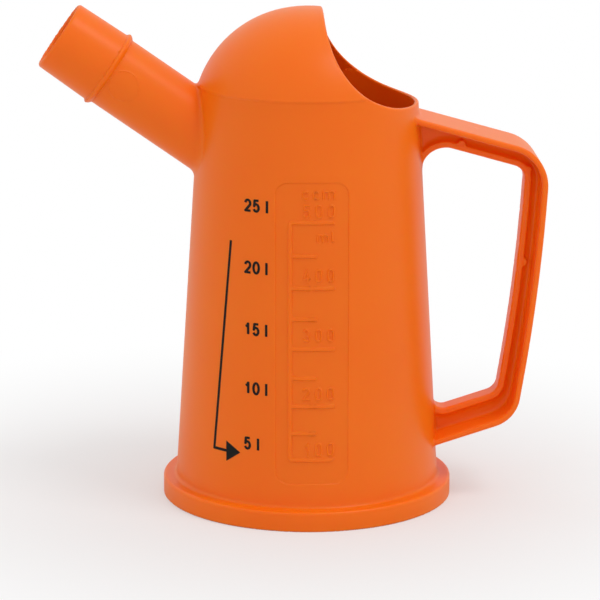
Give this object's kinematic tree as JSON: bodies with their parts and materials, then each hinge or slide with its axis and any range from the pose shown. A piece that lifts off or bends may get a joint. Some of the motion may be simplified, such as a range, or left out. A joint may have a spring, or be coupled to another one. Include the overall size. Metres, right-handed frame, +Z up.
{
  "type": "fuel measuring jug",
  "caption": "Tapered plastic measuring jug with a domed hood, open behind, a raised pouring spout, a ribbed loop handle and a raised scale on the wall.",
  "frame": {"origin": "on the floor under the middle of the jug's footprint box", "axes": "+Z up, spout towards -X, handle towards +X, scale on the -Y side"},
  "size_m": [0.1704, 0.0988, 0.1685],
  "materials": {
    "orange_plastic": "semi-gloss moulded polypropylene",
    "floor_plastic": "semi-gloss moulded polypropylene",
    "black_print": "matt black ink"
  },
  "bodies": {
    "root": {"jug_body": "orange_plastic", "base_disc": "floor_plastic"}
  },
  "joints": []
}
